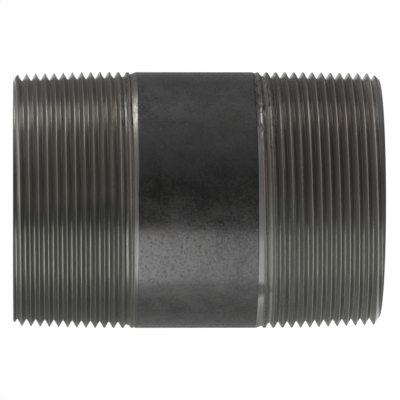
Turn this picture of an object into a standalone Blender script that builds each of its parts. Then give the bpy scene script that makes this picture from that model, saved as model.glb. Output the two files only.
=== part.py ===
"""Steel pipe nipple, 3 inch by 5 inch: a short pipe with a tapered male pipe thread on each end.

The nipple is one piece. It stands on one end, its axis is +Z and the middle of its bottom end is
the origin. Lengths are in metres and angles in radians.

The outside of a cut thread has one radius for each place round and along the pipe. So the solid
is lofted round the axis through radial sections, and each section is worked out as the tools
leave it: the pipe's outside, the taper, the end chamfer, the vee that the die cuts, and the cone
on which the die's first teeth run out.
"""

import math

import bmesh
import bpy

INCH = 0.0254

# Pipe
LENGTH = 0.127
OUTSIDE_DIAMETER = 0.0889
WALL = 0.00549
BORE_EDGE_BREAK = 0.0005

# Thread on each end, a right-hand American taper pipe thread
PITCH = INCH / 8
FLANK_ANGLE = math.radians(30)
TAPER_ON_DIAMETER = 1 / 16
THREADED_LENGTH = 0.0425
RUN_OUT_ANGLE = math.radians(25)
CHAMFER_REACH = 0.0018
CHAMFER_ANGLE = math.radians(45)

# Turns from an end face to the first crest, on the +X side
BOTTOM_START = 0.0
TOP_START = 0.46

# Facets: a point nearer than the shortest edge to the one before it, or off the straight run of
# its neighbours by less than the finest bend, is left out
SECTIONS = 44
SHORTEST_EDGE = 0.00004
FINEST_BEND = 0.000005
SMOOTH_ANGLE = math.radians(28)

# Finishes: linear colour, roughness and metallic
MILL_SCALE = ((0.030, 0.030, 0.032), 0.55, 0.3)
CUT_STEEL = ((0.19, 0.175, 0.16), 0.42, 0.9)

# Rules of the thread's standard: the thread's height, and the drop from the pipe's outside to
# the pitch diameter at the end face, both in pitches
HEIGHT_IN_PITCHES = 0.8
END_DROP_IN_PITCHES = 1.1
END_DROP_FOR_EACH_INCH = 0.05

# Sizes that follow
PIPE_RADIUS = OUTSIDE_DIAMETER / 2
BORE_RADIUS = PIPE_RADIUS - WALL
THREAD_HEIGHT = HEIGHT_IN_PITCHES * PITCH
VEE_HEIGHT = PITCH / (2 * math.tan(FLANK_ANGLE))
END_DROP = (END_DROP_IN_PITCHES + END_DROP_FOR_EACH_INCH * OUTSIDE_DIAMETER / INCH) * PITCH
PITCH_RADIUS_AT_END = (OUTSIDE_DIAMETER - END_DROP) / 2
RADIUS_RISE = TAPER_ON_DIAMETER / 2


def pitch_radius(distance):
    """Radius of the pitch cone at a distance from the end face."""
    return PITCH_RADIUS_AT_END + RADIUS_RISE * distance


def straight(radius, slope):
    """Outline along the thread that starts at a radius on the end face and rises at a slope."""
    return [(0.0, radius), (THREADED_LENGTH, radius + slope * THREADED_LENGTH)]


def radius_on(outline, distance):
    """Radius of an outline at a distance from the end face."""
    for (start, low), (end, high) in zip(outline, outline[1:]):
        if distance <= end:
            return low + (high - low) * (distance - start) / (end - start)
    return outline[-1][1]


def envelope(first, second, pick):
    """Outline that follows the lower of two outlines, or the higher if pick is max."""
    stops = sorted({point[0] for point in first + second})
    points = []
    gap_before = 0.0
    for stop in stops:
        one = radius_on(first, stop)
        other = radius_on(second, stop)
        gap = one - other
        if gap * gap_before < 0:
            back = (stop - points[-1][0]) * gap / (gap - gap_before)
            points.append((stop - back, radius_on(first, stop - back)))
        points.append((stop, pick(one, other)))
        gap_before = gap
    return points


def vee_outline(turns):
    """Sharp vee thread whose first crest is that many turns, under one, from the end face."""
    points = []
    last = 2 * math.ceil(THREADED_LENGTH / PITCH)
    for half_turn in range(-2, last + 1):
        distance = (turns + half_turn / 2) * PITCH
        side = 1 if half_turn % 2 == 0 else -1
        points.append((distance, pitch_radius(distance) + side * VEE_HEIGHT / 2))
    inner = [point for point in points if 0 < point[0] < THREADED_LENGTH]
    start = (0.0, radius_on(points, 0.0))
    end = (THREADED_LENGTH, radius_on(points, THREADED_LENGTH))
    return [start, *inner, end]


def tidy(points):
    """Drops the points that lie on a straight run or too near the point before them."""
    kept = [points[0]]
    for point, after in zip(points[1:], points[2:]):
        before = kept[-1]
        run = (after[0] - before[0], after[1] - before[1])
        offset = (point[0] - before[0], point[1] - before[1])
        bend = abs(run[0] * offset[1] - run[1] * offset[0]) / math.hypot(*run)
        if bend > FINEST_BEND and math.hypot(*offset) > SHORTEST_EDGE:
            kept.append(point)
    if math.dist(kept[-1], points[-1]) <= SHORTEST_EDGE:
        kept.pop()
    return [*kept, points[-1]]


def thread_outline(turns):
    """Outside of one threaded end, as (distance from the end face, radius) points."""
    crest = PITCH_RADIUS_AT_END + THREAD_HEIGHT / 2
    root = PITCH_RADIUS_AT_END - THREAD_HEIGHT / 2
    rise = math.tan(RUN_OUT_ANGLE)
    blank = envelope(straight(PIPE_RADIUS, 0.0), straight(crest, RADIUS_RISE), min)
    blank = envelope(blank, straight(crest - CHAMFER_REACH, math.tan(CHAMFER_ANGLE)), min)
    run_out = straight(PIPE_RADIUS - rise * THREADED_LENGTH, rise)
    depth_limit = envelope(straight(root, RADIUS_RISE), run_out, max)
    cut = envelope(depth_limit, vee_outline(turns), max)
    return tidy(envelope(blank, cut, min))


def section(turn):
    """Half section of the nipple after that part of a turn, from the bore's foot to its top."""
    bottom = thread_outline((BOTTOM_START + turn) % 1)
    top = thread_outline((TOP_START - turn) % 1)
    return [
        (BORE_RADIUS, BORE_EDGE_BREAK),
        (BORE_RADIUS + BORE_EDGE_BREAK, 0.0),
        *[(radius, distance) for distance, radius in bottom],
        *[(radius, LENGTH - distance) for distance, radius in reversed(top)],
        (BORE_RADIUS + BORE_EDGE_BREAK, LENGTH),
        (BORE_RADIUS, LENGTH - BORE_EDGE_BREAK),
    ]


def stitch(here, there, lead):
    """Steps that join two sections, as index pairs, along the shortest edges.

    The lead is how far the thread climbs from one section to the next.
    """

    def spread(i, k):
        climb = there[k][1] - here[i][1] - lead
        return math.hypot(there[k][0] - here[i][0], climb)

    pairs = [(0, 0)]
    i = k = 0
    while i < len(here) - 1 or k < len(there) - 1:
        if k == len(there) - 1:
            i += 1
        elif i == len(here) - 1:
            k += 1
        elif spread(i + 1, k + 1) <= min(spread(i + 1, k), spread(i, k + 1)):
            i += 1
            k += 1
        elif spread(i + 1, k) <= spread(i, k + 1):
            i += 1
        else:
            k += 1
        pairs.append((i, k))
    return pairs


def loft_nipple(mesh):
    """Fills a mesh with the nipple's closed surface, lofted round the axis through its sections."""
    shape = bmesh.new()
    sections = []
    rings = []
    for count in range(SECTIONS):
        turn = count / SECTIONS
        angle = turn * math.tau
        points = section(turn)
        sections.append(points)
        across = math.cos(angle)
        along = math.sin(angle)
        rings.append([shape.verts.new((r * across, r * along, z)) for r, z in points])
    for count in range(SECTIONS):
        after = (count + 1) % SECTIONS
        here = rings[count]
        there = rings[after]
        pairs = stitch(sections[count], sections[after], PITCH / SECTIONS)
        for (i, k), (next_i, next_k) in zip(pairs, pairs[1:]):
            corners = [here[i], there[k]]
            if next_k > k:
                corners.append(there[next_k])
            if next_i > i:
                corners.append(here[next_i])
            shape.faces.new(corners)
        shape.faces.new([here[-1], there[-1], there[0], here[0]])
    shape.to_mesh(mesh)
    shape.free()


def steel(name, colour, roughness, metallic):
    """Material of one steel finish."""
    material = bpy.data.materials.new(name)
    material.use_nodes = True
    shader = material.node_tree.nodes["Principled BSDF"]
    shader.inputs["Base Color"].default_value = (*colour, 1.0)
    shader.inputs["Roughness"].default_value = roughness
    shader.inputs["Metallic"].default_value = metallic
    material.diffuse_color = (*colour, 1.0)
    return material


def give_finishes(mesh):
    """Black scale on the pipe's skin and bore, and cut steel on the threads and the ends."""
    mesh.materials.append(steel("mill_scale", *MILL_SCALE))
    mesh.materials.append(steel("cut_steel", *CUT_STEEL))
    for face in mesh.polygons:
        height = face.center.z
        on_thread = min(height, LENGTH - height) < THREADED_LENGTH
        in_bore = math.hypot(face.center.x, face.center.y) < BORE_RADIUS
        face.material_index = 1 if on_thread and not in_bore else 0


def make_nipple():
    """The whole nipple, as one object."""
    mesh = bpy.data.meshes.new("pipe_nipple")
    loft_nipple(mesh)
    give_finishes(mesh)
    mesh.shade_smooth()
    mesh.set_sharp_from_angle(angle=SMOOTH_ANGLE)
    nipple = bpy.data.objects.new("pipe_nipple", mesh)
    bpy.context.scene.collection.objects.link(nipple)
    return nipple


def clear_scene():
    """Takes out whatever the scene holds."""
    for thing in list(bpy.data.objects):
        bpy.data.objects.remove(thing)


def main():
    """Clears the scene and models the nipple."""
    clear_scene()
    make_nipple()


if __name__ == "__main__":
    main()
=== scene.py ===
"""Finish of a 3 inch by 5 inch black steel pipe nipple, and the studio it stands in.

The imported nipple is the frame: it stands on one end, its axis is +Z and the middle of its bottom
end is the origin. One piece stands for it here, with the fine form of its two threads. Lengths
are in metres and angles in radians.
"""

import math

import bpy
from mathutils import Matrix, Vector


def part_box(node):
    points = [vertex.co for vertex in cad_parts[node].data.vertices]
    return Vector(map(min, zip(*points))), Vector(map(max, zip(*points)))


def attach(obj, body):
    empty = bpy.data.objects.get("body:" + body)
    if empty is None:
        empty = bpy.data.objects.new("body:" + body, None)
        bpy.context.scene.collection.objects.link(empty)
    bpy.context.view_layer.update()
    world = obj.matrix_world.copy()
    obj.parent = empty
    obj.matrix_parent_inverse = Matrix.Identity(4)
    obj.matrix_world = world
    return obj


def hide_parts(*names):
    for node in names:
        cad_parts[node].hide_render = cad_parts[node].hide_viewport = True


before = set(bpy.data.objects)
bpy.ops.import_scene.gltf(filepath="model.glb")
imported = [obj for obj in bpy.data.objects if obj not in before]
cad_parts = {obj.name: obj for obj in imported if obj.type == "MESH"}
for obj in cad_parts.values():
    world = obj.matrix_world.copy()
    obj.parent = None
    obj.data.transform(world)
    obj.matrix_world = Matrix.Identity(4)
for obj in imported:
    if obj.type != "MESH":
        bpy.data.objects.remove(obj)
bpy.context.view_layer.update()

bl_info = {
    "name": "Pipe nipple finish",
    "version": (1, 0, 0),
    "blender": (4, 5, 0),
    "location": "3D View > Sidebar > Nipple",
    "description": "Cuts the threads of a black steel pipe nipple, gives it its finish and lights it",
    "category": "Object",
}

NODE = "pipe_nipple"

INCH = 0.0254
LOW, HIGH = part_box(NODE)
FULL_LENGTH = HIGH.z - LOW.z
FULL_RADIUS = (HIGH.x - LOW.x) / 2

# Sizes, in metres. Starts are turns from an end face to its first crest, on the +X side. The
# bottom thread's die sat aslant by an angle, and its thread is central on the pipe at the pivot
PITCH = INCH / 8
WALL = 0.00549
BORE_EDGE = 0.0005
TOP_LENGTH = 0.0425
BOTTOM_LENGTH = 0.0434
CHAMFER_REACH = 0.0018
CHAMFER_ANGLE = math.radians(45)
RUN_OUT_ANGLE = math.radians(20.5)
EDGE_ROUND = 0.0001
TOP_ROUND = 0.0001
BOTTOM_ROUND = 0.00022
TOP_START = 0.46
BOTTOM_START = 0.175
DIE_LEAN = 0.0105
LEAN_PIVOT = 0.035

# Rules of the thread's standard: the height of the cut thread, the depth of its roots and the
# drop from the pipe's outside to the pitch diameter at the end face are in pitches
FLANK_ANGLE = math.radians(30)
VEE_IN_PITCHES = 1 / (2 * math.tan(FLANK_ANGLE))
HEIGHT_IN_PITCHES = 0.8
ROOT_IN_PITCHES = 0.365
ROOT_EDGE = 0.5 - (VEE_IN_PITCHES / 2 - ROOT_IN_PITCHES) * math.tan(FLANK_ANGLE)
END_DROP_IN_PITCHES = 1.1
END_DROP_FOR_EACH_INCH = 0.05
RADIUS_RISE = 1 / 32

# Facets of the finished skin. The rows of a threaded end follow its crests, so it has spare
# pitches that are pressed flat against the end face and the plain middle
COLUMNS = 192
ROWS_IN_A_PITCH = 16
CUT_PITCHES = 14
SPARE_AT_FACE = 2
SPARE_AT_MIDDLE = 1
BODY_ROWS = 12
ROUND_ROWS = 4
BORE_ROWS = 10
CROWDING = 0.9
WELD = 0.000002
ON_FACE = 0.00001
SHARP_ANGLE = math.radians(50)

# Rounding of the chamfer's corner, of the roots and of the last roots, in edge rounds, and the
# turns before the run-out over which the roots change from the one to the other
CHAMFER_ROUNDS = 3
ROOT_ROUNDS = 3.0
LAST_ROUNDS = 0.5
LAST_TURNS = (-2.0, -1.0)


class Field:
    """An output of a node. Sums written with it add Math nodes to its tree."""

    def __init__(self, wiring, socket):
        self.wiring = wiring
        self.socket = socket

    def __add__(self, other):
        return self.wiring.math("ADD", self, other)

    def __radd__(self, other):
        return self.wiring.math("ADD", other, self)

    def __sub__(self, other):
        return self.wiring.math("SUBTRACT", self, other)

    def __rsub__(self, other):
        return self.wiring.math("SUBTRACT", other, self)

    def __mul__(self, other):
        return self.wiring.math("MULTIPLY", self, other)

    def __rmul__(self, other):
        return self.wiring.math("MULTIPLY", other, self)

    def __truediv__(self, other):
        return self.wiring.math("DIVIDE", self, other)

    def __rtruediv__(self, other):
        return self.wiring.math("DIVIDE", other, self)


class Wiring:
    """Adds nodes to one tree and joins them."""

    COLUMN = 190
    ROW = 170
    ROWS = 9

    def __init__(self, tree):
        self.tree = tree

    def add(self, kind, inputs=(), **settings):
        """A node with these settings. Its inputs, by name or number, are values or fields."""
        count = len(self.tree.nodes)
        node = self.tree.nodes.new(kind)
        node.location = (self.COLUMN * (count // self.ROWS), -self.ROW * (count % self.ROWS))
        for name, value in settings.items():
            setattr(node, name, value)
        for key, value in dict(inputs).items():
            self.feed(node.inputs[key], value)
        return node

    def feed(self, socket, value):
        """Joins a field to a socket, or sets the socket's value."""
        if isinstance(value, Field):
            self.tree.links.new(value.socket, socket)
        elif isinstance(value, bpy.types.NodeSocket):
            self.tree.links.new(value, socket)
        else:
            socket.default_value = value

    def out(self, node, key=0):
        """Field of one of a node's outputs."""
        return Field(self, node.outputs[key])

    def math(self, operation, *values):
        """Field of a sum on numbers or fields."""
        return self.out(self.add("ShaderNodeMath", enumerate(values), operation=operation))

    def vector(self, x, y, z):
        """Field of a vector with these parts."""
        return self.out(self.add("ShaderNodeCombineXYZ", {"X": x, "Y": y, "Z": z}))

    def parts(self, vector):
        """The three parts of a vector, as fields."""
        node = self.add("ShaderNodeSeparateXYZ", {0: vector})
        return [self.out(node, part) for part in "XYZ"]

    def within(self, value, low, high):
        """The value, held between two limits."""
        return self.math("MINIMUM", self.math("MAXIMUM", value, low), high)

    def blend(self, share, first, second):
        """First at a share of 0, second at 1."""
        return first + share * (second - first)

    def ramp(self, value, start, end):
        """0 below the start and 1 above the end, smooth between them."""
        node = self.add(
            "ShaderNodeMapRange",
            {"Value": value, "From Min": start, "From Max": end},
            interpolation_type="SMOOTHSTEP",
        )
        return self.out(node)


def new_group(name, kind, inputs, outputs):
    """A node group with these sockets, and the wiring and the input fields to fill it with.

    Inputs and outputs are name and socket type, with a default value for an input.
    """
    tree = bpy.data.node_groups.new(name, kind)
    for label, (socket_type, value) in inputs.items():
        socket = tree.interface.new_socket(label, in_out="INPUT", socket_type=socket_type)
        if value is not None:
            socket.default_value = value
    for label, socket_type in outputs.items():
        tree.interface.new_socket(label, in_out="OUTPUT", socket_type=socket_type)
    wiring = Wiring(tree)
    entry = wiring.add("NodeGroupInput")
    fields = {label: wiring.out(entry, label) for label in inputs}
    return tree, wiring, fields


def close_group(wiring, **results):
    """Gives a group its outputs. An underscore in a keyword stands for a space."""
    exits = {label.replace("_", " "): value for label, value in results.items()}
    wiring.add("NodeGroupOutput", exits)


def number(value):
    """Group input that is a plain number."""
    return ("NodeSocketFloat", value)


def colour(value):
    """Group input that is a colour."""
    return ("NodeSocketColor", (*value, 1.0))


# Form of the finished skin


def smooth_low(wiring, first, second, rounding):
    """The lower of two radii, with the corner between them rounded."""
    return wiring.math("SMOOTH_MIN", first, second, rounding)


def smooth_high(wiring, first, second, rounding):
    """The higher of two radii, with the corner between them rounded."""
    return wiring.math("SMOOTH_MAX", first, second, rounding)


def threaded_end_group():
    """Group for the outside radius of one threaded end.

    The pipe is cut off and chamfered square to its own axis. The die may sit a little aslant, so
    the thread has a distance from the end and a sideways shift of its own.
    """
    inputs = {
        "Face Distance": number(0.0),
        "Die Distance": number(0.0),
        "Die Shift": number(0.0),
        "Turns From Crest": number(0.0),
        "Pipe Radius": number(FULL_RADIUS),
        "Pitch": number(PITCH),
        "Threaded Length": number(TOP_LENGTH),
        "Chamfer Reach": number(CHAMFER_REACH),
        "Edge Round": number(EDGE_ROUND),
        "Crest Round": number(TOP_ROUND),
    }
    outputs = {"Radius": "NodeSocketFloat"}
    tree, w, at = new_group("Threaded end", "GeometryNodeTree", inputs, outputs)
    pitch = at["Pitch"]
    pipe = at["Pipe Radius"]
    rounding = at["Edge Round"]
    drop = (END_DROP_IN_PITCHES + (2 * END_DROP_FOR_EACH_INCH / INCH) * pipe) * pitch
    end_radius = pipe - drop / 2
    cone = end_radius + at["Die Shift"] + RADIUS_RISE * at["Die Distance"]
    half_height = (HEIGHT_IN_PITCHES / 2) * pitch
    root_depth = ROOT_IN_PITCHES * pitch
    from_crest = w.math("ABSOLUTE", w.math("FRACT", at["Turns From Crest"] + 0.5) - 0.5)
    past_end = at["Die Distance"] - at["Threaded Length"]
    vee = cone + pitch * (VEE_IN_PITCHES * (0.5 - 2 * from_crest))
    run_out = pipe + at["Die Shift"] + math.tan(RUN_OUT_ANGLE) * past_end
    floor = smooth_high(w, cone - root_depth, run_out, rounding)
    last_turns = w.ramp(past_end / pitch, *LAST_TURNS)
    root_round = rounding * w.blend(last_turns, ROOT_ROUNDS, LAST_ROUNDS)
    groove = smooth_high(w, vee, floor, root_round)
    chamfer = end_radius + half_height - at["Chamfer Reach"]
    chamfer = chamfer + math.tan(CHAMFER_ANGLE) * at["Face Distance"]
    tapered = smooth_low(w, cone + half_height, chamfer, CHAMFER_ROUNDS * rounding)
    blank = w.math("MINIMUM", pipe, tapered)
    close_group(w, Radius=smooth_low(w, blank, groove, at["Crest Round"]))
    return tree


def skin_group(finishes):
    """Group that makes the closed skin of the nipple, with both threads cut and its finishes set."""
    sizes = {
        "Length": number(FULL_LENGTH),
        "Pipe Radius": number(FULL_RADIUS),
        "Wall": number(WALL),
        "Bore Edge": number(BORE_EDGE),
        "Pitch": number(PITCH),
        "Top Length": number(TOP_LENGTH),
        "Bottom Length": number(BOTTOM_LENGTH),
        "Top Round": number(TOP_ROUND),
        "Bottom Round": number(BOTTOM_ROUND),
        "Chamfer Reach": number(CHAMFER_REACH),
        "Edge Round": number(EDGE_ROUND),
        "Bottom Start": number(BOTTOM_START),
        "Top Start": number(TOP_START),
        "Die Lean": number(DIE_LEAN),
        "Lean Pivot": number(LEAN_PIVOT),
    }
    outputs = {"Geometry": "NodeSocketGeometry"}
    tree, w, at = new_group("Nipple skin", "GeometryNodeTree", sizes, outputs)
    end_group = threaded_end_group()
    length = at["Length"]
    pitch = at["Pitch"]
    pipe = at["Pipe Radius"]
    shared = {name: at[name] for name in ("Pipe Radius", "Pitch", "Chamfer Reach", "Edge Round")}

    def place(rows):
        """Row number of each of a grid's points, with the turn and direction of its column."""
        index = w.out(w.add("GeometryNodeInputIndex"))
        column = w.math("FLOOR", (index + 0.5) / rows)
        row = index - rows * column
        turn = column / COLUMNS
        across = w.math("COSINE", turn * math.tau)
        along = w.math("SINE", turn * math.tau)
        return row, turn, across, along

    def end_radius(end, face_distance, die_distance, shift, turns):
        """Radius of the outside as the cutting of the bottom or the top end leaves it."""
        own = {
            "Face Distance": face_distance,
            "Die Distance": die_distance,
            "Die Shift": shift,
            "Turns From Crest": turns,
            "Threaded Length": at[end + " Length"],
            "Crest Round": at[end + " Round"],
        }
        node = w.add("GeometryNodeGroup", node_tree=end_group)
        for name, value in {**shared, **own}.items():
            w.feed(node.inputs[name], value)
        return w.out(node)

    def lean_at(across):
        """How far the aslant die is along the pipe, on this side of it."""
        return at["Die Lean"] * (pipe * across)

    def skin_radius(height, turn, across):
        """Radius of the outside at a height, on this side of the pipe."""
        die_distance = height - lean_at(across)
        shift = at["Die Lean"] * (at["Lean Pivot"] - height) * across
        turns = die_distance / pitch - turn - at["Bottom Start"]
        bottom = end_radius("Bottom", height, die_distance, shift, turns)
        below_top = length - height
        turns = below_top / pitch + turn - at["Top Start"]
        top = end_radius("Top", below_top, below_top, 0.0, turns)
        return w.math("MINIMUM", bottom, top)

    def crowded(turns):
        """Moves the rows of a pitch closer together at the crest and at the root."""
        wave = w.math("SINE", turns * (2 * math.tau))
        return turns - (CROWDING / (2 * math.tau)) * wave

    def grid(rows, position):
        """A sheet with those rows, bent round the pipe by the position of each of its points."""
        size = {"Vertices X": COLUMNS + 1, "Vertices Y": rows}
        mesh = w.out(w.add("GeometryNodeMeshGrid", size), "Mesh")
        return w.out(w.add("GeometryNodeSetPosition", {"Geometry": mesh, "Position": position}))

    zone_rows = (SPARE_AT_FACE + CUT_PITCHES + SPARE_AT_MIDDLE) * ROWS_IN_A_PITCH
    outer_rows = 2 * zone_rows + BODY_ROWS + 1
    row, turn, across, along = place(outer_rows)
    cut = CUT_PITCHES * pitch
    from_bottom = crowded(row / ROWS_IN_A_PITCH - SPARE_AT_FACE) + at["Bottom Start"] + turn
    low_part = w.within(from_bottom * pitch + lean_at(across), 0.0, cut)
    past_body = (row - (zone_rows + BODY_ROWS)) / ROWS_IN_A_PITCH
    from_top = crowded(past_body - (CUT_PITCHES + SPARE_AT_MIDDLE)) - at["Top Start"] + turn
    high_part = w.within(length + from_top * pitch, length - cut, length)
    body_share = w.within((row - zone_rows) / BODY_ROWS, 0.0, 1.0)
    height = low_part + high_part - length + cut + body_share * (length - 2 * cut)
    radius = skin_radius(height, turn, across)
    outside = grid(outer_rows, w.vector(radius * across, radius * along, height))

    half_rows = 1 + ROUND_ROWS + BORE_ROWS
    row, turn, across, along = place(2 * half_rows + 1)
    depth = w.math("MINIMUM", row, 2 * half_rows - row)
    at_top = w.math("GREATER_THAN", row, half_rows)
    bend = w.within((depth - 1) / ROUND_ROWS, 0.0, 1.0) * (math.pi / 2)
    edge = at["Bore Edge"]
    bore = pipe - at["Wall"] + edge * (1 - w.math("SINE", bend))
    down = w.within((depth - 1 - ROUND_ROWS) / BORE_ROWS, 0.0, 1.0)
    inset = edge * (1 - w.math("COSINE", bend)) + down * (length / 2 - edge)
    rim = skin_radius(at_top * length, turn, across)
    on_rim = w.math("LESS_THAN", depth, 0.5)
    radius = w.blend(on_rim, bore, rim)
    height = w.blend(at_top, inset, length - inset)
    inside = grid(2 * half_rows + 1, w.vector(radius * across, radius * along, height))
    inside = w.out(w.add("GeometryNodeFlipFaces", {0: inside}))

    joined = w.add("GeometryNodeJoinGeometry")
    w.feed(joined.inputs[0], outside)
    w.feed(joined.inputs[0], inside)
    skin = w.add("GeometryNodeMergeByDistance", {"Geometry": w.out(joined), "Distance": WELD})
    skin = w.add("GeometryNodeSetShadeSmooth", {"Geometry": w.out(skin), "Shade Smooth": True})
    bend = w.out(w.add("GeometryNodeInputMeshEdgeAngle"), "Unsigned Angle")
    sharp = w.math("GREATER_THAN", bend, SHARP_ANGLE)
    crease = {"Geometry": w.out(skin), "Selection": sharp, "Shade Smooth": False}
    skin = w.add("GeometryNodeSetShadeSmooth", crease, domain="EDGE")
    skin = w.out(w.add("GeometryNodeRealizeInstances", {"Geometry": w.out(skin)}))

    x, y, z = w.parts(w.out(w.add("GeometryNodeInputPosition")))
    radius = w.math("SQRT", x * x + y * y)
    in_bore = w.math("LESS_THAN", radius, pipe - at["Wall"] + edge + ON_FACE)
    on_end = w.math("LESS_THAN", w.math("MINIMUM", z, length - z), ON_FACE) * (1 - in_bore)
    regions = {
        "body": 1.0,
        "bottom_thread": w.math("LESS_THAN", z, cut),
        "top_thread": w.math("GREATER_THAN", z, length - cut),
        "end_face": on_end,
        "bore": in_bore,
    }
    for name, region in regions.items():
        paint = {"Geometry": skin, "Material": finishes[name]}
        node = w.add("GeometryNodeSetMaterial", paint)
        if isinstance(region, Field):
            w.feed(node.inputs["Selection"], region)
        skin = w.out(node)
    close_group(w, Geometry=skin)
    return tree


# Finishes

# Sockets of a Mix node that mixes colours, by number, because other kinds share their names
MIX_SHARE, MIX_FIRST, MIX_SECOND, MIX_RESULT = 0, 6, 7, 2

# Oily film on the scale
FILM_ROUGHNESS = 0.2

# How much the cutting lines stretch a highlight, and the part of a turn that sets it across them
GRAIN = 0.4
ACROSS = 0.25

# Mill scale: streaks and hairlines in a radian round the pipe and in a metre along it, heights
# between which the film grows thicker, and how far each mark stands out or in
STREAKS = (42.0, 30.0)
HAIRLINES = (260.0, 45.0)
FILM_HEIGHTS = (0.060, 0.084)
FILM_GROWTH = 0.18
GRAIN_RELIEF = 0.000032
CLOUD_RELIEF = 0.00018
STREAK_RELIEF = 0.00002
WAVE_RELIEF = 0.0008
PIT_DEPTH = 0.00002
HAIR_DEPTH = 0.000006

# How far a point may lie off the run-out cone, off the last groove's floor and off the chamfer,
# and still belong to it
LAND_SLACK = 0.00004
GROOVE_SLACK = 0.00028
CHAMFER_SLACK = 0.00012

# Where a thread's finish changes, as distances past its run-out
SCALE_STARTS = (-0.018, -0.012)
SCALE_WHOLE = (-0.0008, 0.0)
TEARS_START = (-0.0075, -0.005)
STOP_STARTS = (-0.0062, -0.0054)
LAND_STARTS = (-0.0034, -0.0028)
STAIN_STARTS = (-0.0032, -0.0026)

# Where it changes across the pipe: along -X for the lower side, along +X for the dry steel, off
# the die's stop mark, and under the pipe's outside. Tears fade in along +X, and dry steel fades
# out inwards from the end
LOWER_SIDE = (-0.002, 0.008)
DRY_SIDE = (0.006, 0.018)
STOP_EDGE = (0.0010, 0.0034)
OUTSIDE_LEFT = (0.00008, 0.00002)
TEAR_FADE = 0.022
DRY_FADE = 0.010

# Size of a tear along the thread and across it, and its depth; the shares of scale that stay on
# the crests of the upper and of the lower side; and how fast the stop mark widens
TEAR_SIZE = (0.003, 0.0011)
TEAR_DEPTH = 0.00014
SCALE_LEFT = (0.45, 0.85)
STOP_WIDENS = 0.35

# Wear of each thread. Root and crest are shares of bright rubbed steel, and upper is how much of
# that the upper side has. Flank and land metal say how metallic those are, and satin how rough
# the flanks are. Land lower is the land's colour on the lower side, and land whole the share of
# it that no tear reaches. Fresh is how bright a tear's edge is, and tears the X where they start.
# Dry is how far before the run-out the dry steel starts to fade. Stop is the X of the die's stop
# mark, which for the top thread is off the pipe.
BOTTOM_WEAR = {
    "root": 0.35,
    "crest": 0.6,
    "upper": 0.2,
    "flank_metal": 0.55,
    "satin": 0.20,
    "land_metal": 0.4,
    "land_lower": (0.31, 0.312, 0.292),
    "land_whole": 0.5,
    "fresh": 0.6,
    "tears": 0.006,
    "dry": 0.044,
    "stop": -0.0306,
}
TOP_WEAR = {
    "root": 0.8,
    "crest": 0.5,
    "upper": 1.0,
    "flank_metal": 0.7,
    "satin": 0.23,
    "land_metal": 0.8,
    "land_lower": (0.115, 0.115, 0.106),
    "land_whole": 0.7,
    "fresh": 0.2,
    "tears": 0.014,
    "dry": 0.036,
    "stop": 1.0,
}


def object_place(wiring):
    """Object coordinates."""
    return wiring.out(wiring.add("ShaderNodeTexCoord"), "Object")


def noise(wiring, vector, scale, detail=3.0, roughness=0.55, distortion=0.0):
    """Field of a noise between 0 and 1 at a place."""
    node = wiring.add(
        "ShaderNodeTexNoise",
        {
            "Vector": vector,
            "Scale": scale,
            "Detail": detail,
            "Roughness": roughness,
            "Distortion": distortion,
        },
    )
    return wiring.out(node)


def mix_colour(wiring, share, first, second, blend_type="MIX"):
    """Field of a colour that goes from the first to the second."""
    node = wiring.add("ShaderNodeMix", data_type="RGBA", blend_type=blend_type)
    for key, value in ((MIX_SHARE, share), (MIX_FIRST, first), (MIX_SECOND, second)):
        is_colour = not isinstance(value, (Field, float, int))
        wiring.feed(node.inputs[key], (*value, 1.0) if is_colour else value)
    return wiring.out(node, MIX_RESULT)


def thread_place_group():
    """Group for where a point is on a thread.

    Across runs from -0.5 in one root, through 0 on the crest, to 0.5 in the next root. Place goes
    along the thread and across it, in metres. Past End is the distance inwards from where the
    thread has run out. Land is 1 on the bright cone there, which the die's first teeth cut, and
    Chamfer is 1 on the end chamfer.
    """
    inputs = {
        "Pitch": number(PITCH),
        "First Crest": number(0.0),
        "Die Lean": number(0.0),
        "End Height": number(0.0),
        "Inward": number(1.0),
        "Threaded Length": number(TOP_LENGTH),
        "Chamfer Radius": number(FULL_RADIUS),
    }
    outputs = {
        "Across": "NodeSocketFloat",
        "Place": "NodeSocketVector",
        "Radius": "NodeSocketFloat",
        "Past End": "NodeSocketFloat",
        "Land": "NodeSocketFloat",
        "Chamfer": "NodeSocketFloat",
    }
    tree, w, at = new_group("Place on the thread", "ShaderNodeTree", inputs, outputs)
    x, y, z = w.parts(object_place(w))
    angle = w.math("ARCTAN2", y, x)
    radius = w.math("SQRT", x * x + y * y)
    level = z - at["Die Lean"] * x
    turns = level / at["Pitch"] - angle / math.tau - at["First Crest"]
    turn = w.math("ROUND", turns)
    across = turns - turn
    along = (angle + turn * math.tau) * FULL_RADIUS
    place = w.vector(along, across * at["Pitch"], 0.0)
    distance = (level - at["End Height"]) * at["Inward"]
    past_end = distance - at["Threaded Length"]
    cone = FULL_RADIUS + math.tan(RUN_OUT_ANGLE) * past_end
    off_cone = w.math("ABSOLUTE", radius - cone)
    slack = w.blend(w.ramp(past_end, *LAND_STARTS), GROOVE_SLACK, LAND_SLACK)
    land = 1 - w.ramp(off_cone / slack, 1.0, 2.0)
    cut_off = at["Chamfer Radius"] + math.tan(CHAMFER_ANGLE) * distance - radius
    chamfer = 1 - w.ramp(cut_off, CHAMFER_SLACK, 2.5 * CHAMFER_SLACK)
    close_group(
        w,
        Across=across,
        Place=place,
        Radius=radius,
        Past_End=past_end,
        Land=land,
        Chamfer=chamfer,
    )
    return tree


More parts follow.
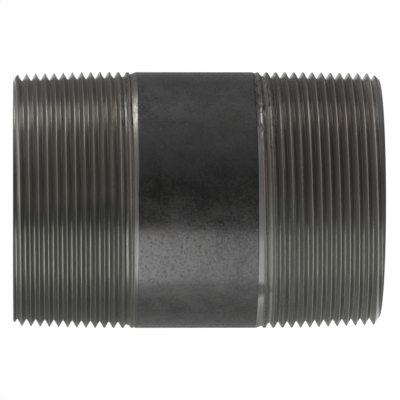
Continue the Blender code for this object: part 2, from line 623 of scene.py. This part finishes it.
def mill_scale_group():
    """Group for black mill scale: its clouds and grain, and the pits, rubs and scratches on it.

    Pits and rubs are thicker in a band round the pipe at their own heights.
    """
    inputs = {
        "Scale Colour": colour((0.014, 0.014, 0.014)),
        "Pale Colour": colour((0.034, 0.034, 0.0331)),
        "Rust Colour": colour((0.036, 0.020, 0.014)),
        "Cloud Size": number(0.0075),
        "Grain Size": number(0.00075),
        "Roughness": number(0.24),
        "Pitted Height": number(0.0515),
        "Rubbed Height": number(0.083),
        "Band Width": number(0.005),
        "Film": number(0.17),
    }
    outputs = {
        "Colour": "NodeSocketColor",
        "Roughness": "NodeSocketFloat",
        "Height": "NodeSocketFloat",
        "Film": "NodeSocketFloat",
    }
    tree, w, at = new_group("Mill scale", "ShaderNodeTree", inputs, outputs)
    place = object_place(w)
    x, y, z = w.parts(place)
    angle = w.math("ARCTAN2", y, x)
    band = at["Band Width"]

    clouds = noise(w, place, 1.0 / at["Cloud Size"], 5.0, 0.6, 0.5)
    grain = noise(w, place, 1.0 / at["Grain Size"], 3.0, 0.65)
    waves = noise(w, place, 0.25 / at["Cloud Size"], 1.0, 0.5)
    streaks = w.vector(angle * STREAKS[0], z * STREAKS[1], 0.0)
    streaks = noise(w, streaks, 1.0, 4.0, 0.6)
    hair = w.vector(angle * HAIRLINES[0], z * HAIRLINES[1], 3.0)
    hair = noise(w, hair, 1.0, 2.0, 0.5)
    hairlines = w.ramp(hair, 0.68, 0.74)

    specks = noise(w, place, 0.8 / at["Grain Size"], 3.0, 0.8)
    off_pits = w.math("ABSOLUTE", z - at["Pitted Height"])
    off_rubs = w.math("ABSOLUTE", z - at["Rubbed Height"])
    near_pits = 1 - w.ramp(off_pits, 0.5 * band, 1.6 * band)
    near_rubs = 1 - w.ramp(off_rubs, 0.2 * band, 0.6 * band)
    pits = w.ramp(specks, 0.48 - 0.02 * near_pits, 0.72 - 0.02 * near_pits)
    rubs = w.ramp(1 - specks, 0.70 - 0.08 * near_rubs, 0.76 - 0.08 * near_rubs)

    pale = 2.2 * (clouds - 0.32) + 1.3 * (grain - 0.5) + 0.9 * (streaks - 0.5)
    pale = w.within(pale, 0.0, 1.0) * (1 - 0.85 * pits)
    pale = w.math("MAXIMUM", pale, 0.9 * rubs)
    tint = mix_colour(w, pale, at["Scale Colour"], at["Pale Colour"])
    rusty = noise(w, place, 0.6 / at["Cloud Size"], 4.0, 0.6)
    tint = mix_colour(w, 0.5 * w.ramp(rusty, 0.56, 0.72), tint, at["Rust Colour"])

    rough = at["Roughness"] + 0.6 * (clouds - 0.5) + 0.5 * (grain - 0.5)
    rough = rough + 0.34 * pits - 0.05 * hairlines
    height = GRAIN_RELIEF * grain + CLOUD_RELIEF * clouds + STREAK_RELIEF * streaks
    height = height + WAVE_RELIEF * waves - PIT_DEPTH * pits - HAIR_DEPTH * hairlines
    film = at["Film"] + FILM_GROWTH * w.ramp(z, *FILM_HEIGHTS)
    film = film + 0.7 * (clouds - 0.5) + 0.9 * (grain - 0.5) - 0.34 * pits
    close_group(w, Colour=tint, Roughness=rough, Height=height, Film=w.within(film, 0.0, 1.0))
    return tree


def tool_marks_group():
    """Group for the fine lines that a cutting edge leaves along its path."""
    inputs = {
        "Place": ("NodeSocketVector", None),
        "Line Width": number(0.0002),
        "Line Length": number(0.04),
        "Depth": number(0.00003),
    }
    outputs = {"Lines": "NodeSocketFloat", "Height": "NodeSocketFloat"}
    tree, w, at = new_group("Tool marks", "ShaderNodeTree", inputs, outputs)
    along, across, _ = w.parts(at["Place"])
    stretched = w.vector(along / at["Line Length"], across / at["Line Width"], 0.0)
    lines = noise(w, stretched, 1.0, 3.0, 0.7)
    close_group(w, Lines=lines, Height=lines * at["Depth"])
    return tree


class Finish:
    """A material under construction, with its wiring and its shader."""

    def __init__(self, name):
        self.material = bpy.data.materials.new(name)
        self.material.use_nodes = True
        self.wiring = Wiring(self.material.node_tree)
        self.shader = self.material.node_tree.nodes["Principled BSDF"]

    def group(self, tree, values):
        """One of the shared effects, with this finish's own values."""
        node = self.wiring.add("ShaderNodeGroup", node_tree=tree)
        for name, value in values.items():
            if isinstance(node.inputs[name], bpy.types.NodeSocketColor) and isinstance(value, tuple):
                value = (*value, 1.0)
            self.wiring.feed(node.inputs[name], value)
        return {output.name: self.wiring.out(node, output.name) for output in node.outputs}

    def close(self, tint, roughness, height, metallic=0.0, film=0.0):
        """Joins the finish to its shader."""
        w = self.wiring
        w.feed(self.shader.inputs["Base Color"], tint)
        w.feed(self.shader.inputs["Roughness"], roughness)
        w.feed(self.shader.inputs["Metallic"], metallic)
        w.feed(self.shader.inputs["Coat Weight"], film)
        self.shader.inputs["Coat Roughness"].default_value = FILM_ROUGHNESS
        bump = w.add("ShaderNodeBump", {"Height": height, "Distance": 1.0, "Strength": 1.0})
        w.feed(self.shader.inputs["Normal"], w.out(bump))
        return self.material


def thread_finish(name, look, groups, place, shades, wear):
    """Cut steel of one thread, with the scale that the die left on the pipe's own outside.

    Place holds the inputs of the group for the place on the thread. Shades are the colours of the
    cut steel on the upper (+X) side and on the lower side, of rubbed steel, and of the land, which
    is the bright cone at the run-out. Wear is one of the tables of wear above.
    """
    upper, lower, bright, land_upper = [tuple(shade) for shade in shades]
    finish = Finish(name)
    w = finish.wiring
    spot = finish.group(groups["place"], place)
    marks = finish.group(groups["marks"], {"Place": spot["Place"]})
    scale = finish.group(groups["scale"], {"Scale Colour": tuple(look.scale_colour)})
    past_end = spot["Past End"]
    x, y, _ = w.parts(object_place(w))
    cloud = noise(w, object_place(w), 45.0, 3.0, 0.55)
    uneven = cloud - 0.5

    # Cut steel, streaked along the thread, oily on both sides and dry on top near the end
    below = w.ramp(-1 * x + 0.03 * uneven, *LOWER_SIDE)
    steel = mix_colour(w, below, upper, lower)
    streak = 0.3 + 1.4 * marks["Lines"]
    steel = mix_colour(w, 1.0, steel, w.vector(streak, streak, streak), "MULTIPLY")
    dry = w.ramp(x, *DRY_SIDE) * (1 - w.ramp(past_end + wear["dry"], 0.0, DRY_FADE))
    steel = mix_colour(w, 0.65 * dry, steel, tuple(look.dry_colour))

    # Rubbed roots and crests, and the dull chamfer
    from_crest = w.math("ABSOLUTE", spot["Across"])
    root = w.ramp(from_crest, ROOT_EDGE - 0.02, ROOT_EDGE) * (1 - spot["Land"])
    crest = (1 - w.ramp(from_crest, 0.03, 0.06)) * (1 - spot["Land"])
    worn = w.math("MAXIMUM", wear["root"] * root, wear["crest"] * crest)
    worn = worn * w.blend(below, wear["upper"], 1.0)
    steel = mix_colour(w, worn, steel, bright)
    steel = mix_colour(w, spot["Chamfer"], steel, tuple(look.chamfer_colour))

    # Scale on what the die didn't reach
    outside = w.ramp(spot["Radius"], *[FULL_RADIUS - depth for depth in OUTSIDE_LEFT])
    left = w.blend(w.ramp(past_end, *SCALE_WHOLE), w.blend(below, *SCALE_LEFT), 1.0)
    uncut = outside * w.ramp(past_end, *SCALE_STARTS) * left * (1 - spot["Land"])

    # The land, and the dark mark across it where the die stopped
    off_stop = w.math("ABSOLUTE", x - wear["stop"] + 0.003 * uneven) - STOP_WIDENS * past_end
    stopped = (1 - w.ramp(off_stop, *STOP_EDGE)) * w.math("LESS_THAN", y, 0.0)
    land = spot["Land"] * (1 - stopped * w.ramp(past_end, *STOP_STARTS))
    stain = stopped * spot["Land"] * w.ramp(past_end, *STAIN_STARTS)
    uncut = w.math("MAXIMUM", uncut, 0.8 * stain)
    steel = mix_colour(w, land, steel, mix_colour(w, below, land_upper, wear["land_lower"]))

    # Torn marks on the upper side of the last turns
    tears = w.ramp(x, wear["tears"], wear["tears"] + TEAR_FADE) * w.ramp(past_end, *TEARS_START)
    tears = tears * (1 - uncut)
    along, across, _ = w.parts(spot["Place"])
    ragged = w.vector(along / TEAR_SIZE[0], across / TEAR_SIZE[1], 0.0)
    ragged = noise(w, ragged, 1.0, 3.0, 0.6, 1.0)
    fresh = tears * (1 - w.ramp(ragged, 0.36, 0.42))
    torn = tears * (1 - wear["land_whole"] * spot["Land"]) * w.ramp(ragged, 0.5, 0.58)
    steel = mix_colour(w, 0.9 * torn, steel, tuple(look.tear_colour))
    steel = mix_colour(w, wear["fresh"] * fresh, steel, bright)

    tint = mix_colour(w, uncut, steel, scale["Colour"])
    satin = wear["satin"] + 0.12 * marks["Lines"] + 0.2 * torn + 0.3 * spot["Chamfer"]
    roughness = w.blend(uncut, satin, scale["Roughness"])
    height = w.blend(uncut, marks["Height"] - TEAR_DEPTH * torn, scale["Height"])
    metal = w.blend(land, w.blend(worn, wear["flank_metal"], 1.0), wear["land_metal"])
    metal = metal * (1 - uncut) * (1 - 0.9 * spot["Chamfer"])
    finish.shader.inputs["Anisotropic"].default_value = GRAIN
    finish.shader.inputs["Anisotropic Rotation"].default_value = ACROSS
    return finish.close(tint, roughness, height, metal, uncut * scale["Film"])


def scale_finish(name, look, groups, **values):
    """Black mill scale, as it came from the pipe mill."""
    finish = Finish(name)
    scale = finish.group(groups["scale"], {"Scale Colour": tuple(look.scale_colour), **values})
    return finish.close(scale["Colour"], scale["Roughness"], scale["Height"], 0.0, scale["Film"])


def end_finish(name, look, groups):
    """Steel of an end face, faced off in rings round the bore."""
    finish = Finish(name)
    w = finish.wiring
    x, y, _ = w.parts(object_place(w))
    rings = w.vector(x + y, w.math("SQRT", x * x + y * y), 0.0)
    marks = finish.group(groups["marks"], {"Place": rings})
    stain = noise(w, object_place(w), 90.0, 4.0, 0.6)
    tint = mix_colour(w, stain, tuple(look.top_upper), tuple(look.top_land))
    return finish.close(tint, 0.3 + 0.25 * marks["Lines"], marks["Height"], 1.0)


def chamfer_radius(look):
    """Radius of the end chamfer's cone at the end face."""
    diameter = 2 * FULL_RADIUS
    drop = (END_DROP_IN_PITCHES + END_DROP_FOR_EACH_INCH * diameter / INCH) * look.pitch
    crest = FULL_RADIUS - drop / 2 + HEIGHT_IN_PITCHES * look.pitch / 2
    return crest - look.chamfer_reach


def make_finishes(look):
    """The nipple's materials, by the region they cover."""
    groups = {
        "place": thread_place_group(),
        "scale": mill_scale_group(),
        "marks": tool_marks_group(),
    }
    bottom = {
        "Pitch": look.pitch,
        "First Crest": look.bottom_start,
        "Die Lean": look.die_lean,
        "Threaded Length": look.bottom_length,
        "Chamfer Radius": chamfer_radius(look),
    }
    top = {
        "Pitch": look.pitch,
        "First Crest": FULL_LENGTH / look.pitch - look.top_start,
        "End Height": FULL_LENGTH,
        "Inward": -1.0,
        "Threaded Length": look.top_length,
        "Chamfer Radius": chamfer_radius(look),
    }
    bottom_shades = (look.bottom_upper, look.bottom_lower, look.bottom_bright, look.bottom_land)
    top_shades = (look.top_upper, look.top_lower, look.top_bright, look.top_land)
    return {
        "body": scale_finish("mill_scale", look, groups),
        "bottom_thread": thread_finish(
            "cut_steel_bottom", look, groups, bottom, bottom_shades, BOTTOM_WEAR
        ),
        "top_thread": thread_finish("cut_steel_top", look, groups, top, top_shades, TOP_WEAR),
        "end_face": end_finish("faced_steel", look, groups),
        "bore": scale_finish("bore_scale", look, groups, Roughness=0.5),
    }


class NippleLook(bpy.types.PropertyGroup):
    """Sizes and colours of the finished nipple."""

    pitch: bpy.props.FloatProperty(
        name="Pitch",
        description="Distance from one crest to the next",
        default=PITCH,
        unit="LENGTH",
    )
    wall: bpy.props.FloatProperty(
        name="Wall",
        description="Thickness of the pipe's wall",
        default=WALL,
        unit="LENGTH",
    )
    bore_edge: bpy.props.FloatProperty(
        name="Bore edge",
        description="Round of the bore's edges",
        default=BORE_EDGE,
        unit="LENGTH",
    )
    top_length: bpy.props.FloatProperty(
        name="Top thread length",
        description="From the top face to where the run-out cone starts",
        default=TOP_LENGTH,
        unit="LENGTH",
    )
    bottom_length: bpy.props.FloatProperty(
        name="Bottom thread length",
        description="From the bottom face to where the run-out cone starts",
        default=BOTTOM_LENGTH,
        unit="LENGTH",
    )
    chamfer_reach: bpy.props.FloatProperty(
        name="Chamfer reach",
        description="How far the end chamfer cuts below the first crest",
        default=CHAMFER_REACH,
        unit="LENGTH",
    )
    edge_round: bpy.props.FloatProperty(
        name="Edge round",
        description="Round of the crests and roots",
        default=EDGE_ROUND,
        unit="LENGTH",
    )
    top_round: bpy.props.FloatProperty(
        name="Top crest round",
        description="Round of the top thread's crests",
        default=TOP_ROUND,
        unit="LENGTH",
    )
    bottom_round: bpy.props.FloatProperty(
        name="Bottom crest round",
        description="Round of the bottom thread's crests",
        default=BOTTOM_ROUND,
        unit="LENGTH",
    )
    bottom_start: bpy.props.FloatProperty(
        name="Bottom start",
        description="Turns from the bottom face to its first crest",
        default=BOTTOM_START,
    )
    top_start: bpy.props.FloatProperty(
        name="Top start",
        description="Turns from the top face to its first crest",
        default=TOP_START,
    )
    die_lean: bpy.props.FloatProperty(
        name="Die lean",
        description="How far the bottom thread's die sat aslant",
        default=DIE_LEAN,
        subtype="ANGLE",
    )
    lean_pivot: bpy.props.FloatProperty(
        name="Lean pivot",
        description="Height at which the aslant thread is central on the pipe",
        default=LEAN_PIVOT,
        unit="LENGTH",
    )
    scale_colour: bpy.props.FloatVectorProperty(
        name="Mill scale",
        description="Colour of the black scale",
        default=(0.017, 0.017, 0.0162),
        subtype="COLOR",
    )
    top_upper: bpy.props.FloatVectorProperty(
        name="Top thread, upper",
        description="Top thread on its +X side, under old oil",
        default=(0.262, 0.247, 0.218),
        subtype="COLOR",
    )
    top_lower: bpy.props.FloatVectorProperty(
        name="Top thread, lower",
        description="Top thread on its -X side",
        default=(0.170, 0.175, 0.153),
        subtype="COLOR",
    )
    top_bright: bpy.props.FloatVectorProperty(
        name="Top bright lines",
        description="Roots and rubbed crests of the top thread",
        default=(0.33, 0.32, 0.30),
        subtype="COLOR",
    )
    top_land: bpy.props.FloatVectorProperty(
        name="Top land",
        description="Cone that the die rubbed bright at the top",
        default=(0.228, 0.221, 0.203),
        subtype="COLOR",
    )
    bottom_upper: bpy.props.FloatVectorProperty(
        name="Bottom thread, upper",
        description="Bottom thread on its +X side, under old oil",
        default=(0.196, 0.175, 0.159),
        subtype="COLOR",
    )
    bottom_lower: bpy.props.FloatVectorProperty(
        name="Bottom thread, lower",
        description="Bottom thread on its -X side",
        default=(0.195, 0.200, 0.178),
        subtype="COLOR",
    )
    bottom_bright: bpy.props.FloatVectorProperty(
        name="Bottom bright lines",
        description="Roots and rubbed crests of the bottom thread",
        default=(0.32, 0.31, 0.29),
        subtype="COLOR",
    )
    bottom_land: bpy.props.FloatVectorProperty(
        name="Bottom land",
        description="Cone that the die rubbed bright at the bottom",
        default=(0.30, 0.282, 0.256),
        subtype="COLOR",
    )
    dry_colour: bpy.props.FloatVectorProperty(
        name="Dry steel",
        description="Cut steel near the end faces, where no oil has stayed",
        default=(0.30, 0.305, 0.285),
        subtype="COLOR",
    )
    chamfer_colour: bpy.props.FloatVectorProperty(
        name="Chamfer steel",
        description="Dull steel of the end chamfers",
        default=(0.07, 0.068, 0.063),
        subtype="COLOR",
    )
    tear_colour: bpy.props.FloatVectorProperty(
        name="Torn steel",
        description="Torn spots of the last turns",
        default=(0.03, 0.028, 0.026),
        subtype="COLOR",
    )


class StudioLook(bpy.types.PropertyGroup):
    """Camera and light of the studio."""

    camera_distance: bpy.props.FloatProperty(
        name="Camera distance",
        description="From the pipe's axis to the camera",
        default=2.1,
        unit="LENGTH",
    )
    camera_height: bpy.props.FloatProperty(
        name="Camera height",
        description="Height of the camera over the floor",
        default=0.1325,
        unit="LENGTH",
    )
    aim_height: bpy.props.FloatProperty(
        name="Aim height",
        description="Height on the axis that the camera looks at",
        default=0.0621,
        unit="LENGTH",
    )
    lens: bpy.props.FloatProperty(
        name="Lens",
        description="Focal length on a 36 mm sensor, in millimetres",
        default=544.1,
    )
    key_radiance: bpy.props.FloatProperty(
        name="Key light",
        description="Brightness of the key softbox, where 1 is white",
        default=3.3,
    )
    top_radiance: bpy.props.FloatProperty(
        name="Top light",
        description="Brightness of the second softbox, where 1 is white",
        default=4.8,
    )
    room_radiance: bpy.props.FloatProperty(
        name="Room light", description="Brightness of the room round the nipple", default=0.35
    )


def set_inputs(modifier, values):
    """Sets a node modifier's inputs, found by their sockets' identifiers."""
    for item in modifier.node_group.interface.items_tree:
        if item.item_type == "SOCKET" and item.in_out == "INPUT":
            modifier[item.identifier] = values[item.name]


class NIPPLE_OT_finished_nipple(bpy.types.Operator):
    """Makes the finished nipple, with its threads cut, and hides the plain one it stands for"""

    bl_idname = "nipple.finished_nipple"
    bl_label = "Finished nipple"

    def execute(self, context):
        look = context.scene.nipple_look
        blank = bpy.data.objects.new("blank", bpy.data.meshes.new("blank"))
        context.scene.collection.objects.link(blank)
        modifier = blank.modifiers.new("Skin", "NODES")
        modifier.node_group = skin_group(make_finishes(look))
        set_inputs(
            modifier,
            {
                "Length": FULL_LENGTH,
                "Pipe Radius": FULL_RADIUS,
                "Wall": look.wall,
                "Bore Edge": look.bore_edge,
                "Pitch": look.pitch,
                "Top Length": look.top_length,
                "Bottom Length": look.bottom_length,
                "Top Round": look.top_round,
                "Bottom Round": look.bottom_round,
                "Chamfer Reach": look.chamfer_reach,
                "Edge Round": look.edge_round,
                "Bottom Start": look.bottom_start,
                "Top Start": look.top_start,
                "Die Lean": look.die_lean,
                "Lean Pivot": look.lean_pivot,
            },
        )
        depsgraph = context.evaluated_depsgraph_get()
        mesh = bpy.data.meshes.new_from_object(blank.evaluated_get(depsgraph), depsgraph=depsgraph)
        if not mesh.polygons:
            raise RuntimeError("The nipple's skin has no faces")
        blank.modifiers.remove(modifier)
        bpy.data.objects.remove(blank)
        mesh.name = "finished_nipple"
        nipple = bpy.data.objects.new("finished_nipple", mesh)
        context.scene.collection.objects.link(nipple)
        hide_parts(NODE)
        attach(nipple, "root")
        return {"FINISHED"}


# Studio

# Softboxes: azimuth and elevation in degrees, distance, and width and height
KEY_SOFTBOX = (-53.4, 8.0, 1.3, (1.22, 1.5))
TOP_SOFTBOX = (92.0, 31.5, 1.3, (0.5, 1.0))

# The floor, and how white it looks by itself
FLOOR_HALF = 8.0
FLOOR_GLOW = 0.92
FLOOR_GREY = (0.3, 0.3, 0.3, 1.0)
FLOOR_CLEARANCE = 0.0002
MATT = 0.9

# Cards that lie round the nipple and rise far from it. Their profile is radius and height, and a
# card is an azimuth in degrees with its grey near the nipple and far from it, over and over
CARD_STEP = 6.0
CARD_NEAR = 0.35
CARD_PROFILE = ((0.07, 0.001), (0.3, 0.001), (0.4, 0.001), (1.5, 0.001), (1.6, 1.5))
FRONT_CARD = (
    (-28.3, 0.14, 0.13),
    (24.0, 0.14, 0.13),
    (36.0, 0.50, 0.53),
    (50.0, 0.62, 0.98),
    (86.0, 0.30, 0.98),
    (104.0, 0.24, 0.68),
    (134.0, 0.22, 0.42),
    (175.0, 0.22, 0.46),
)
REAR_CARD = ((-175.0, 0.45, 0.60), (-145.0, 0.45, 0.62), (-112.0, 0.60, 0.80), (-92.0, 0.70, 0.78))

# Rays for which the room is white
SEEN_BY = ("Is Camera Ray", "Is Glossy Ray", "Is Transmission Ray")


def seen(wiring):
    """1 for rays that see a background, straight, in a reflection or through glass."""
    paths = wiring.add("ShaderNodeLightPath")
    first, second, third = [wiring.out(paths, name) for name in SEEN_BY]
    return wiring.math("MAXIMUM", wiring.math("MAXIMUM", first, second), third)


def softbox(name, azimuth, elevation, distance, size, radiance):
    """A softbox that faces the nipple. Azimuth 0 is the camera's side, and 90 degrees is +X."""
    lamp = bpy.data.lights.new(name, "AREA")
    lamp.shape = "RECTANGLE"
    lamp.size, lamp.size_y = size
    lamp.energy = math.pi * size[0] * size[1] * radiance
    holder = bpy.data.objects.new(name, lamp)
    bpy.context.scene.collection.objects.link(holder)
    turn = math.radians(azimuth)
    rise = math.radians(elevation)
    level = math.cos(rise)
    away = Vector((math.sin(turn) * level, -math.cos(turn) * level, math.sin(rise)))
    right = Vector((0.0, 0.0, 1.0)).cross(away).normalized()
    holder.location = away * distance + Vector((0.0, 0.0, FULL_LENGTH / 2))
    holder.rotation_euler = Matrix((right, away.cross(right), away)).transposed().to_euler()


def make_world(scene, radiance):
    """A room of an even grey, white where it is seen."""
    world = bpy.data.worlds.new("room")
    scene.world = world
    world.use_nodes = True
    w = Wiring(world.node_tree)
    share = seen(w)
    background = world.node_tree.nodes["Background"]
    background.inputs["Color"].default_value = (1.0, 1.0, 1.0, 1.0)
    w.feed(background.inputs["Strength"], w.blend(share, radiance, 1.0))


def make_floor(scene):
    """A wide white floor that keeps a soft shadow."""
    mesh = bpy.data.meshes.new("floor")
    square = ((-1, -1), (1, -1), (1, 1), (-1, 1))
    corners = [(x * FLOOR_HALF, y * FLOOR_HALF, -FLOOR_CLEARANCE) for x, y in square]
    mesh.from_pydata(corners, [], [(0, 1, 2, 3)])
    floor = bpy.data.objects.new("floor", mesh)
    scene.collection.objects.link(floor)
    material = bpy.data.materials.new("white_floor")
    material.use_nodes = True
    shader = material.node_tree.nodes["Principled BSDF"]
    shader.inputs["Base Color"].default_value = FLOOR_GREY
    shader.inputs["Roughness"].default_value = MATT
    shader.inputs["Specular IOR Level"].default_value = 0.0
    shader.inputs["Emission Color"].default_value = (1.0, 1.0, 1.0, 1.0)
    w = Wiring(material.node_tree)
    w.feed(shader.inputs["Emission Strength"], seen(w) * FLOOR_GLOW)
    below = w.out(w.add("ShaderNodeNewGeometry"), "Backfacing")
    clear = w.out(w.add("ShaderNodeBsdfTransparent"))
    side = w.add("ShaderNodeMixShader", {0: below, 1: shader.outputs[0], 2: clear})
    w.feed(material.node_tree.nodes["Material Output"].inputs["Surface"], w.out(side))
    mesh.materials.append(material)


def make_card(scene, name, shades):
    """A curved card that sets what the steel reflects, and that nothing else sees.

    Shades are azimuths, in degrees and rising, each with the card's grey near the nipple and far
    from it.
    """
    mesh = bpy.data.meshes.new(name)
    points = []
    greys = []
    for (start, *first), (end, *second) in zip(shades, shades[1:]):
        steps = math.ceil((end - start) / CARD_STEP)
        for step in range(steps):
            share = step / steps
            turn = math.radians(start + (end - start) * share)
            near, far = [low + (high - low) * share for low, high in zip(first, second)]
            across, along = math.sin(turn), -math.cos(turn)
            points += [(r * across, r * along, height) for r, height in CARD_PROFILE]
            greys += [near if r < CARD_NEAR else far for r, _ in CARD_PROFILE]
    wide = len(CARD_PROFILE)
    faces = [
        (i + k, i + k + 1, i + wide + k + 1, i + wide + k)
        for i in range(0, len(points) - wide, wide)
        for k in range(wide - 1)
    ]
    mesh.from_pydata(points, [], faces)
    mesh.attributes.new("grey", "FLOAT", "POINT").data.foreach_set("value", greys)
    card = bpy.data.objects.new(name, mesh)
    scene.collection.objects.link(card)
    material = bpy.data.materials.new(name)
    material.use_nodes = True
    shader = material.node_tree.nodes["Principled BSDF"]
    w = Wiring(material.node_tree)
    grey = w.add("ShaderNodeAttribute", attribute_name="grey")
    w.feed(shader.inputs["Base Color"], w.out(grey, "Fac"))
    shader.inputs["Roughness"].default_value = MATT
    mesh.materials.append(material)
    card.visible_camera = False
    card.visible_diffuse = False
    card.visible_shadow = False


def make_camera(scene, look):
    """A long lens on the nipple's side, rolled so that the top end is on the picture's left."""
    camera = bpy.data.cameras.new("camera")
    camera.lens = look.lens
    camera.clip_end = 30.0
    holder = bpy.data.objects.new("camera", camera)
    scene.collection.objects.link(holder)
    holder.location = (0.0, -look.camera_distance, look.camera_height)
    ahead = Vector((0.0, 0.0, look.aim_height)) - holder.location
    ahead.normalize()
    up = Vector((1.0, 0.0, 0.0))
    holder.rotation_euler = Matrix((ahead.cross(up), up, -ahead)).transposed().to_euler()
    scene.camera = holder


class NIPPLE_OT_studio(bpy.types.Operator):
    """Makes the floor, the room, the softboxes, the cards and the camera"""

    bl_idname = "nipple.studio"
    bl_label = "Studio"

    def execute(self, context):
        scene = context.scene
        look = scene.studio_look
        scene.view_settings.view_transform = "Standard"
        make_floor(scene)
        make_world(scene, look.room_radiance)
        softbox("key_softbox", *KEY_SOFTBOX, look.key_radiance)
        softbox("top_softbox", *TOP_SOFTBOX, look.top_radiance)
        make_card(scene, "front_card", FRONT_CARD)
        make_card(scene, "rear_card", REAR_CARD)
        make_camera(scene, look)
        return {"FINISHED"}


class NIPPLE_PT_panel(bpy.types.Panel):
    """Sizes, colours and light of the nipple, and what makes them"""

    bl_idname = "NIPPLE_PT_panel"
    bl_label = "Pipe nipple"
    bl_space_type = "VIEW_3D"
    bl_region_type = "UI"
    bl_category = "Nipple"

    def draw(self, context):
        for look in (context.scene.nipple_look, context.scene.studio_look):
            for name in look.__annotations__:
                self.layout.prop(look, name)
        for operator in (NIPPLE_OT_finished_nipple, NIPPLE_OT_studio):
            self.layout.operator(operator.bl_idname)


CLASSES = (NippleLook, StudioLook, NIPPLE_OT_finished_nipple, NIPPLE_OT_studio, NIPPLE_PT_panel)


def register():
    """Adds the classes, and their properties, to Blender."""
    for item in CLASSES:
        bpy.utils.register_class(item)
    bpy.types.Scene.nipple_look = bpy.props.PointerProperty(type=NippleLook)
    bpy.types.Scene.studio_look = bpy.props.PointerProperty(type=StudioLook)


def unregister():
    """Takes the classes and their properties out again."""
    del bpy.types.Scene.studio_look
    del bpy.types.Scene.nipple_look
    for item in reversed(CLASSES):
        bpy.utils.unregister_class(item)


def main():
    """Makes the nipple and its studio."""
    register()
    bpy.ops.nipple.finished_nipple()
    bpy.ops.nipple.studio()


if __name__ == "__main__":
    main()
